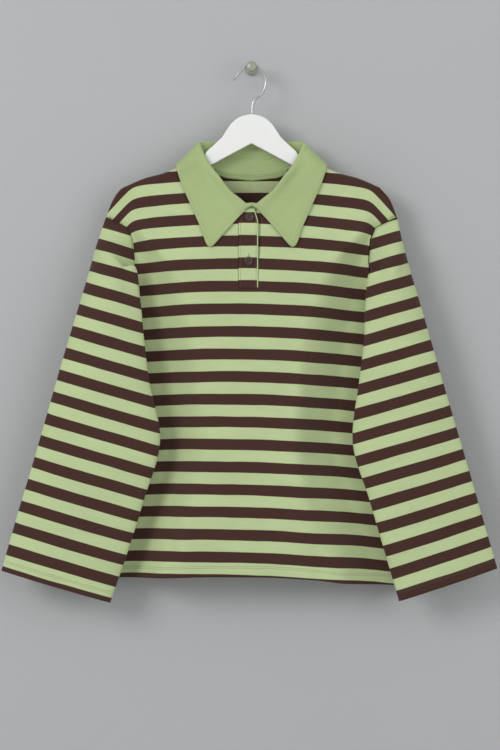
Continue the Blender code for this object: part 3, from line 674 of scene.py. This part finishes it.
def resample(lines, count):
    """Points along every line of a stack: evenly by its mean length, and 14 more on the roll."""
    step = np.linalg.norm(np.diff(lines, axis=1), axis=2).mean(axis=0)
    length = np.concatenate([[0], np.cumsum(step)])
    even, roll = np.linspace(0, length[-1], count), np.linspace(length[2], length[6], 14)
    fine = np.unique(np.concatenate([even, roll]))
    return np.stack([through(fine, length, line) for line in lines]), fine


half_lines = np.array([collar_line(n, row) for n, row in enumerate(COLLAR)])
between = np.linalg.norm(np.diff(half_lines, axis=0), axis=2).mean(axis=1)
girth = np.concatenate([[0], np.cumsum(between)])
at = np.concatenate([np.linspace(0, girth[1], 7)[:-1], np.linspace(girth[1], girth[-1], 84)])
stations = through(at, girth, half_lines.reshape(len(half_lines), -1)).reshape(len(at), -1, 3)
start = at < girth[1]
mix = (at[start] / girth[1])[:, None, None]
stations[start] = half_lines[0] + (half_lines[1] - half_lines[0]) * mix
stations[:, 0] = np.stack([np.interp(at, girth, half_lines[:, 0, k]) for k in range(3)], axis=-1)
fine_lines, fine_at = resample(stations, 46)
wave = 0.5 * np.sin(at / 17.0)[:, None] * smooth((fine_at - fine_at[-1] * 0.55) / 30.0)[None, :]
front_share = np.clip(1 - at / girth[RIDGE_STATION], 0, 1)[:, None]
fine_lines[..., 1] -= np.abs(wave) * front_share
left_half = fine_lines[:-1].copy()
left_half[..., 0] *= -1
# The left side reaches a little past the middle, where it meets the right one.
left_half[..., 0] += 1.5 * np.clip(1.0 - at[:-1] / girth[1], 0, 1)[:, None]
collar_grid = np.concatenate([left_half, fine_lines[::-1]])
u = np.concatenate([at[:-1], 2 * at[-1] - at[::-1]])[:, None] * MM
collar_points = stack_mm(collar_grid[..., 0], collar_grid[..., 1], collar_grid[..., 2])
v = fine_at[None, :] * MM
collar = grid_piece("collar_fall_and_stand", collar_points, u, v, collar_knit, COLLAR_WALL)
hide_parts("collar")
print("collar:", len(collar.data.polygons), "quads,", round(area_of(collar_points), 4), "m2")

# %% [markdown]
# The placket: the upper strip fills the notch in the front and laps over the lower one. The
# taped neck seam is a narrow band inside the back. These are small sheets on the same field.

# %% Placket and neck tape
rows = np.linspace(0, 1, 72)[:, None]
cols = np.linspace(0, 1, 20)
strip_foot = NOTCH_DROP - 0.4
rough = 225 + (strip_foot - 225) * rows
strip_left = NOTCH_LEFT + 0.4
strip_right = NOTCH_RIGHT - 0.4 - 5.0 * (1 - smooth((rough - 225) / 24.0))
lap_across = strip_left + (strip_right - strip_left) * cols
head = np.interp(np.abs(lap_across), FRONT_NECK["half"], FRONT_NECK["drop"]) + 0.3
lap_drop = head + (strip_foot - head) * rows
rise = 0.35 * np.sin(np.pi * cols) ** 0.5
lap_depth = front_depth(lap_across, lap_drop) - rise
lap_points = stack_mm(lap_across, lap_depth, lap_drop)
lap_v = stripe_v(lap_across, lap_drop)
lap = grid_piece("placket_lap", lap_points, lap_across * MM, lap_v, lap_knit, PLACKET_WALL)
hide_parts("placket_overlap")
under_across = -13.0 + 37.0 * cols + 0 * rows
head = np.interp(np.abs(under_across), FRONT_NECK["half"], FRONT_NECK["drop"]) + 1.0
under_drop = head + (strip_foot + 3.0 - head) * rows
under_points = stack_mm(under_across, front_depth(under_across, under_drop) + 2.7, under_drop)
under_v = stripe_v(under_across, under_drop)
under = grid_piece("placket_lower", under_points, under_across * MM, under_v, body_knit, PLACKET_WALL)
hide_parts("placket_underlap")
tape_across = np.linspace(-56, 56, 90)
tape_line = np.interp(np.abs(tape_across), BACK_NECK["half"], BACK_NECK["drop"])
tape_part = np.linspace(-3.4, 4.2, 9)[:, None]
tape_depth = back_depth(tape_across, tape_line) - 2.1 - 0.6 * np.clip(-tape_part / 3.4, 0, 1)
tape_depth = tape_depth - 0.35 * np.cos(tape_part * 1.1)
tape_points = stack_mm(tape_across, tape_depth, tape_line + tape_part)
tape_v = tape_part * MM + 0 * tape_across
tape = grid_piece("neck_tape", tape_points, tape_across * MM, tape_v, collar_knit, TAPE_WALL)
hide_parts("neck_binding")
print("placket strips:", round(area_of(lap_points), 5), round(area_of(under_points), 5), "m2")


# %% [markdown]
# Sewing. Each stitch is a short rounded bar of thread laid along the cloth. One function
# walks a line of points, puts a bar every few millimetres and joins all of them in one mesh.

# %% Thread material and stitches
def thread(name, colour):
    """Twisted thread: one fine noise gives both its tone and its relief."""
    g = Graph(name)
    twist = g.noise(g.object_place(), 2600.0, 2.0)
    g.two_tones(twist, colour, 0.8)
    g.bump(twist, 0.3, 0.0001)
    g.matte(0.7)
    return g.material


thread_green = thread("sewing_thread", (0.21, 0.26, 0.12, 1.0))
thread_mid = thread("seam_thread", (0.115, 0.098, 0.058, 1.0))
thread_dark = thread("button_thread", (0.05, 0.035, 0.03, 1.0))


def stitches(name, lines, length, gap, radius, lift, material):
    """Bars of six sides along each line, lifted off it: spindles, thin at both ends, in metres."""
    places = []
    for line, outward in lines:
        step = np.linalg.norm(np.diff(line, axis=0), axis=1)
        run = np.concatenate([[0], np.cumsum(step)])
        count = max(1, int(run[-1] // (length + gap)))
        begin = np.arange(count) * run[-1] / count
        ends = [[np.interp(begin + off, run, line[:, k]) for k in range(3)] for off in (0, length)]
        ends = [np.stack(end, axis=-1) for end in ends]
        places.append((ends[0], ends[1], np.broadcast_to(outward, ends[0].shape)))
    first, last, away = (np.concatenate([p[k] for p in places]) for k in range(3))
    tangent = last - first
    tangent /= np.linalg.norm(tangent, axis=1, keepdims=True)
    side = np.cross(tangent, away)
    side /= np.linalg.norm(side, axis=1, keepdims=True)
    up = np.cross(side, tangent)
    around = np.arange(6) / 6 * 2 * math.pi
    share = np.array([0.0, 0.2, 0.5, 0.8, 1.0])
    girth_at = np.array([0.25, 0.85, 1.0, 0.85, 0.25]) * radius
    base = first[:, None] + (last - first)[:, None] * share[None, :, None]
    base = base + up[:, None] * lift
    ring = np.cos(around)[:, None] * side[:, None, None] + np.sin(around)[:, None] * up[:, None, None]
    points = base[:, :, None] + ring * girth_at[None, :, None, None]
    count = len(first)
    cell = np.arange(5 * 6).reshape(5, 6)
    turn = np.roll(cell, -1, axis=1)
    quads = np.stack([cell[:-1], cell[1:], turn[1:], turn[:-1]], axis=-1).reshape(-1, 4)
    offset = (np.arange(count) * 30)[:, None, None]
    faces = (quads[None] + offset).reshape(-1, 4).tolist()
    caps = np.array([cell[0], cell[-1][::-1]])
    faces += (caps[None] + offset).reshape(-1, 6).tolist()
    piece = new_piece(name, points.reshape(-1, 3), faces, material)
    print(name, count, "stitches")


FRONTWARD = np.array([0.0, -1.0, 0.0])
BACKWARD = np.array([0.0, 1.0, 0.0])
surface = 0.5 * CLOTH * MM
hem_lines = []
for inset in (14.2, 17.0):
    line_across = np.linspace(-236, 236, 500)
    line_drop = through(line_across, HEM["across"], HEM["drop"]) - inset
    hem_lines.append((stack_mm(line_across, front_depth(line_across, line_drop), line_drop), FRONTWARD))
    hem_lines.append((stack_mm(line_across, back_depth(line_across, line_drop), line_drop), BACKWARD))
stitches("hem_stitching", hem_lines, 0.0024, 0.0008, 0.00026, surface, thread_mid)


def cuff_lines(tube, side, insets):
    """Lines round the sleeve at set distances above the cuff, for its front and its back."""
    made = []
    run = np.linalg.norm(np.diff(tube[:, 0], axis=0), axis=1)
    from_cuff = np.concatenate([np.cumsum(run[::-1])[::-1], [0]])
    for inset in insets:
        ring = [[np.interp(-inset, -from_cuff, line) for line in place.T] for place in tube.swapaxes(0, 1)]
        ring = np.array(ring)
        world = stack_mm(side * ring[:, 0], ring[:, 1], ring[:, 2])
        half = SIDES // 2
        made.append((world[2:half - 2], FRONTWARD))
        made.append((world[half + 2:], BACKWARD))
    return made


cuffs = cuff_lines(left_tube, -1, (14.0, 16.8)) + cuff_lines(right_tube, 1, (11.5, 14.3))
stitches("cuff_stitching", cuffs, 0.0024, 0.0008, 0.00026, surface, thread_mid)
collar_rows = []
edge_row = int(np.argmin(np.abs(fine_at - (fine_at[-1] - 5.0))))
collar_surface = 0.5 * COLLAR_WALL * MM
for grid in (left_half, fine_lines):
    path = grid[7:, edge_row]
    front_part = path[at[7:7 + len(path)] < girth[6]]
    world = stack_mm(front_part[:, 0], front_part[:, 1], front_part[:, 2])
    collar_rows.append((world, FRONTWARD))
    rim = grid[8, 26:]
    collar_rows.append((stack_mm(rim[:, 0], rim[:, 1], rim[:, 2]), FRONTWARD))
stitches(
    "collar_stitching", collar_rows, 0.0024, 0.0009, 0.00026, collar_surface, thread_green)
lap_lines = [(lap_points[1:, column], FRONTWARD) for column in (2, -3)]
for level in (339.5, 347.0):
    bar = np.linspace(strip_left + 2, NOTCH_RIGHT - 2.4, 40)
    lap_lines.append((stack_mm(bar, front_depth(bar, np.full(40, level)), level), FRONTWARD))
stitches("placket_stitching", lap_lines, 0.0022, 0.0008, 0.00020, 0.00105, thread_mid)
tape_rows = [(tape_points[row], FRONTWARD) for row in (2, 7)]
stitches("tape_stitching", tape_rows, 0.0024, 0.0006, 0.00030, 0.0006, thread_dark)
hole = np.linspace(295.6, 303.5, 12)
hole_at = np.full(12, -3.9)
hole_depth = front_depth(hole_at, hole)
hole_lines = [(stack_mm(hole_at + shift, hole_depth, hole), FRONTWARD) for shift in (-0.55, 0.55)]
stitches("buttonhole_stitching", hole_lines, 0.0009, 0.0001, 0.00042, 0.0012, thread_dark)


# %% [markdown]
# Buttons: a turned disc with a raised rim, a shallow dish and four holes. The front is a height
# worked out over a polar grid: the rim and dish depend on the radius, and each hole is a
# steep dip. The thread crosses through the holes.

# %% Buttons
def horn(name, colour):
    """Clouded horn: soft patches of a darker tone under a low polish."""
    g = Graph(name)
    place = g.object_place()
    g.two_tones(g.soft_step(g.noise(place, 240.0, 3.0), 0.3, 0.7), colour, 0.45)
    g.bump(g.noise(place, 900.0, 2.0), 0.1, 0.0002)
    g.matte(0.34)
    return g.material


button_finish = horn("brown_button", (0.062, 0.036, 0.031, 1.0))
BUTTONS = {"button_upper": (-3.1, 239.3), "button_lower": (-4.5, 307.2)}
BUTTON_RADIUS, BUTTON_THICK, BUTTON_GAP, HOLE_AT, HOLE_RADIUS = 6.7, 2.5, 0.6, 1.55, 0.8


def button(node, across_at, drop_at):
    """Closed disc on a polar grid: rim and dish from the radius, holes as dips, a flat back."""
    share = np.concatenate([np.linspace(0, 1, 44), [1.0, 0.97, 0.85, 0.5, 0.0]])
    angle = np.arange(72) / 72 * 2 * math.pi
    r = share[:, None] * BUTTON_RADIUS
    x, y = r * np.cos(angle), r * np.sin(angle)
    q = share[:, None]
    dish = 0.30 + 0.22 * smooth((q - 0.55) / 0.12) - 0.42 * smooth((q - 0.86) / 0.14) ** 2
    height = dish * BUTTON_THICK + 0 * angle
    for sx in (-1, 1):
        for sy in (-1, 1):
            away = np.hypot(x - sx * HOLE_AT, y - sy * HOLE_AT) / HOLE_RADIUS
            height = height - 1.35 * np.exp(-(away ** 6))
    under_side = np.array([-0.22, -0.42, -0.5, -0.5, -0.5]) * BUTTON_THICK
    height[44:] = under_side[:, None]
    # The disc leans as the cloth does, found from its depth 5 mm lower and 5 mm aside.
    spots = ((across_at, drop_at), (across_at, drop_at + 5.0), (across_at + 5.0, drop_at))
    here, lower, aside = (float(front_depth(np.array(a), np.array(d))) for a, d in spots)
    normal = np.array([(aside - here) / 5.0, -1.0, -(lower - here) / 5.0])
    normal /= np.linalg.norm(normal)
    level = np.cross(np.array([0.0, 0.0, 1.0]), normal)
    level /= np.linalg.norm(level)
    upward = np.cross(normal, level)
    stand = 0.5 * PLACKET_WALL + 0.5 * BUTTON_THICK + BUTTON_GAP
    centre = np.array([across_at, here, -drop_at]) + normal * stand
    points = centre + x[..., None] * level + y[..., None] * upward + height[..., None] * normal
    points = points * MM
    rings = len(share)
    verts = np.concatenate([points[1:-1].reshape(-1, 3), points[:1, 0], points[-1:, 0]])
    cell = np.arange((rings - 2) * 72).reshape(rings - 2, 72)
    around = np.roll(cell, -1, axis=1)
    faces = np.stack([cell[:-1], cell[1:], around[1:], around[:-1]], axis=-1).reshape(-1, 4).tolist()
    top, bottom = len(verts) - 2, len(verts) - 1
    faces += np.stack([np.full(72, top), cell[0], around[0]], axis=-1).tolist()
    faces += np.stack([np.full(72, bottom), around[-1], cell[-1]], axis=-1).tolist()
    piece = new_piece(node + "_disc", verts, faces, button_finish)
    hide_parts(node)
    bars = []
    for sign in (-1, 1):
        ends_at = np.array([[-HOLE_AT, -sign * HOLE_AT], [HOLE_AT, sign * HOLE_AT]])
        bars.append(((centre + ends_at[:, :1] * level + ends_at[:, 1:] * upward) * MM, normal))
    reach = 2 * HOLE_AT * math.sqrt(2) * MM * 0.98
    dish_top = 0.30 * BUTTON_THICK * MM + 0.0002
    stitches(node + "_thread", bars, reach, 0.0, 0.00034, dish_top, thread_dark)
    print(node, len(faces), "faces")


for node_name, (button_across, button_drop) in BUTTONS.items():
    button(node_name, button_across, button_drop)


# %% [markdown]
# What holds it up: the hook's wire as a tube of rings along a smooth path, with a rounded tip,
# the peg as a turned profile, and the hanger's own node with a painted finish. The same tube
# makes the placket's narrow folded edge, which shows plain green beside the stripes.

# %% Wire hook and peg
def turned_grid(name, centres, radii, frame_one, frame_two, material, node):
    """Closed tube: a ring of 32 points of the given radius at each centre, closed at the ends."""
    angle = np.arange(32) / 32 * 2 * math.pi
    ring = np.cos(angle)[:, None] * frame_one[:, None] + np.sin(angle)[:, None] * frame_two[:, None]
    points = (centres[:, None] + ring * np.asarray(radii)[:, None, None]) * MM
    verts = np.concatenate([points.reshape(-1, 3), centres[:1] * MM, centres[-1:] * MM])
    cell = np.arange(len(centres) * 32).reshape(-1, 32)
    around = np.roll(cell, -1, axis=1)
    faces = np.stack([cell[:-1], around[:-1], around[1:], cell[1:]], axis=-1).reshape(-1, 4).tolist()
    faces += np.stack([np.full(32, len(verts) - 2), around[0], cell[0]], axis=-1).tolist()
    faces += np.stack([np.full(32, len(verts) - 1), cell[-1], around[-1]], axis=-1).tolist()
    piece = new_piece(name, verts, faces, material)
    if node:
        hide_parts(node)
    print(name, len(faces), "faces")
    return piece


def metal(name, colour, metallic, rough):
    """Worn metal: its tone and its roughness follow the same cloudy noise."""
    g = Graph(name)
    cloud = g.noise(g.object_place(), 320.0, 3.0)
    g.two_tones(cloud, colour, 0.82)
    node = g.add("ShaderNodeMapRange")
    g.put(node.inputs["Value"], cloud)
    node.inputs["To Min"].default_value = rough - 0.07
    node.inputs["To Max"].default_value = rough + 0.07
    g.put(g.shader.inputs["Roughness"], node.outputs["Result"])
    g.shader.inputs["Metallic"].default_value = metallic
    return g.material


def plain_cloth(name, colour):
    """Matte plain knit for a piece without a UV map: fine noise in object space."""
    g = Graph(name)
    fuzz = g.noise(g.scaled(g.object_place(), (900.0, 900.0, 1500.0)), 1.0, 3.0)
    g.two_tones(fuzz, colour, 0.8)
    g.bump(fuzz, 0.3, 0.0002)
    g.matte(0.93)
    return g.material


edge_knit = plain_cloth("placket_edge_knit", GREEN)
steel = metal("satin_steel_wire", (0.50, 0.50, 0.47, 1.0), 1.0, 0.34)
peg_paint = metal("peg_grey", (0.33, 0.35, 0.28, 1.0), 0.35, 0.42)
HOOK = {
    "across": (-29.9, -24.2, -20.6, -15.3, -8.5, 0, 8.3, 15.8, 21.2, 22.3, 20.3, 16.7, 11.5, 5.3, 2.5,
               1.2, 0.8),
    "drop": (23.3, 18.4, 13.5, 7.8, 1.8, -1.7, 2.0, 9.8, 19.4, 27.3, 36.1, 43.2, 49.1, 53.9, 58.4,
             65.6, 76.2),
}
WIRE_RADIUS = 1.7
hook_path = np.stack([HOOK["across"], HOOK["drop"]], axis=-1).astype(float)
hook_run = np.concatenate([[0], np.cumsum(np.linalg.norm(np.diff(hook_path, axis=0), axis=1))])
spread = np.concatenate([np.linspace(0, WIRE_RADIUS, 8), np.linspace(2.4, hook_run[-1], 170)])
hook_line = through(spread, hook_run, hook_path)
tip = 1 - np.clip(spread / WIRE_RADIUS, 0, 1)
hook_radius = WIRE_RADIUS * np.sqrt(np.clip(1 - tip ** 2, 0.0025, 1))
along = np.gradient(hook_line, axis=0)
along /= np.linalg.norm(along, axis=1, keepdims=True)
hook_centres = np.stack([hook_line[:, 0], 0 * spread, -hook_line[:, 1]], axis=-1)
hook_side = np.stack([-along[:, 1], 0 * spread, -along[:, 0]], axis=-1)
hook_flat = np.broadcast_to(np.array([0.0, 1.0, 0.0]), hook_side.shape)
turned_grid(
    "hook_wire", hook_centres, hook_radius, hook_side, hook_flat, steel, "hanger_hook")

PEG = {
    "radius": (0.5, 8.6, 9, 9, 8.2, 2.6, 2.6, 7.7, 8.2, 8.4, 8.4, 8.1, 7.0, 5.2, 3.0, 0.4),
    "along": (42, 42, 41.6, 37, 36, 33, -2.2, -2.2, -2.5, -3.1, -4.8, -5.6, -6.9, -7.8, -8.4, -8.6),
}
PEG_AXIS_DROP = 2.9
peg_along = np.array(PEG["along"])
peg_centres = np.stack([0 * peg_along, peg_along, np.full(len(peg_along), -PEG_AXIS_DROP)], axis=-1)
one = np.broadcast_to(np.array([1.0, 0.0, 0.0]), peg_centres.shape)
two = np.broadcast_to(np.array([0.0, 0.0, 1.0]), peg_centres.shape)
edge_drop = np.linspace(223.6, 349.0, 90)
edge_across = np.interp(edge_drop, lap_drop[:, -1], lap_across[:, -1]) - 0.5
edge_line = np.stack([edge_across, front_depth(edge_across, edge_drop) - 0.9, -edge_drop], axis=-1)
edge_radius = 0.95 * np.sqrt(np.clip(1 - (2 * np.linspace(0, 1, 90) - 1) ** 40, 0.02, 1))
edge_side = np.broadcast_to(np.array([1.0, 0.0, 0.0]), edge_line.shape)
edge_out = np.broadcast_to(np.array([0.0, -1.0, 0.0]), edge_line.shape)
turned_grid("placket_edge_fold", edge_line, edge_radius, edge_side, edge_out, edge_knit, None)
peg = turned_grid("peg_turned", peg_centres, PEG["radius"], one, two, peg_paint, "wall_peg")
peg.data.set_sharp_from_angle(angle=math.radians(40))


# %% Painted hanger
def paint(name, colour):
    """Satin paint over wood: a faint grain along X shows through as relief."""
    g = Graph(name)
    place = g.object_place()
    g.two_tones(g.noise(place, 26.0, 2.0), colour, 0.94)
    g.bump(g.noise(g.scaled(place, (30.0, 260.0, 260.0)), 1.0, 4.0), 0.12, 0.0003)
    g.matte(0.42)
    return g.material


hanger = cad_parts["hanger_body"]
white = paint("white_paint_on_wood", (0.74, 0.74, 0.72, 1.0))
hanger.data.materials.clear()
hanger.data.materials.append(white)
print("hanger painted:", white.name)

# %% [markdown]
# The stage: a plain wall that the peg's plate rests on, a pale floor far below, soft light from
# the upper left, and the camera straight in front at the photo's height. The wall is clear
# from behind and lets a rear lamp's light pass, so that views from the back aren't blocked.

# %% Stage, light and camera
WALL_Y, FLOOR_Z = 0.0425, -1.45
WALL_GREY = (0.400, 0.401, 0.404, 1.0)


def flat_stage(name, corners, material):
    """One flat quad for the stage; it isn't attached to the object's body."""
    mesh = bpy.data.meshes.new(name)
    mesh.from_pydata(corners, [], [(0, 1, 2, 3)])
    mesh.materials.append(material)
    piece = bpy.data.objects.new(name, mesh)
    bpy.context.scene.collection.objects.link(piece)


def plaster(name, colour, one_sided):
    """Matte plaster; one_sided is clear from behind and to shadow rays."""
    g = Graph(name)
    g.two_tones(g.noise(g.object_place(), 3.0), colour, 0.97)
    g.matte(0.95)
    g.shader.inputs["Specular IOR Level"].default_value = 0.1
    if one_sided:
        clear = g.add("ShaderNodeBsdfTransparent")
        choose = g.add("ShaderNodeMixShader")
        rear = g.add("ShaderNodeNewGeometry").outputs["Backfacing"]
        shadow = g.add("ShaderNodeLightPath").outputs["Is Shadow Ray"]
        g.put(choose.inputs[0], g.math("MAXIMUM", rear, shadow))
        g.put(choose.inputs[1], g.shader.outputs[0])
        g.put(choose.inputs[2], clear.outputs[0])
        g.put(g.tree.nodes["Material Output"].inputs["Surface"], choose.outputs[0])
    return g.material


wall_finish = plaster("wall_plaster", WALL_GREY, True)
floor_finish = plaster("floor_pale", (0.62, 0.62, 0.61, 1.0), False)
foot_z, head_z = FLOOR_Z, 2.2
wall_corners = [(-3, WALL_Y, foot_z), (3, WALL_Y, foot_z), (3, WALL_Y, head_z), (-3, WALL_Y, head_z)]
floor_corners = [(-4, -4.5, foot_z), (4, -4.5, foot_z), (4, 4.5, foot_z), (-4, 4.5, foot_z)]
flat_stage("wall", wall_corners, wall_finish)
flat_stage("floor", floor_corners, floor_finish)


def soft_light(name, place, target, size, power):
    """A round area lamp of the given diameter and watts, turned to its target."""
    lamp = bpy.data.lights.new(name, "AREA")
    lamp.shape = "DISK"
    lamp.size = size
    lamp.energy = power
    holder = bpy.data.objects.new(name, lamp)
    bpy.context.scene.collection.objects.link(holder)
    holder.location = place
    aim = Vector(target) - Vector(place)
    holder.rotation_euler = aim.to_track_quat("-Z", "Y").to_euler()


soft_light("window_light", (-2.6, -3.1, 1.0), (0.0, 0.0, -0.45), 1.9, 80.0)
soft_light("fill_light", (1.9, -2.4, 0.0), (0.0, 0.0, -0.5), 2.4, 22.0)
soft_light("back_fill", (0.6, 2.6, 0.6), (0.0, 0.0, -0.4), 2.4, 30.0)
world = bpy.data.worlds.new("studio")
world.use_nodes = True
world.node_tree.nodes["Background"].inputs["Color"].default_value = (0.95, 0.97, 1.0, 1.0)
world.node_tree.nodes["Background"].inputs["Strength"].default_value = 0.71
bpy.context.scene.world = world

LENS, SENSOR, VIEW_HEIGHT, GARMENT_Y = 140.0, 36.0, 1.1625, -0.03
distance = 0.5 * VIEW_HEIGHT * LENS / (0.5 * SENSOR)
camera_data = bpy.data.cameras.new("camera")
camera_data.sensor_fit = "VERTICAL"
camera_data.sensor_height = SENSOR
camera_data.lens = LENS
camera = bpy.data.objects.new("camera", camera_data)
bpy.context.scene.collection.objects.link(camera)
camera.location = (-0.0023, GARMENT_Y - distance, -0.4836)
camera.rotation_euler = (0.5 * math.pi, 0.0, 0.0)
bpy.context.scene.camera = camera
bpy.context.scene.view_settings.view_transform = "Standard"
print("camera", [round(v, 3) for v in camera.location])
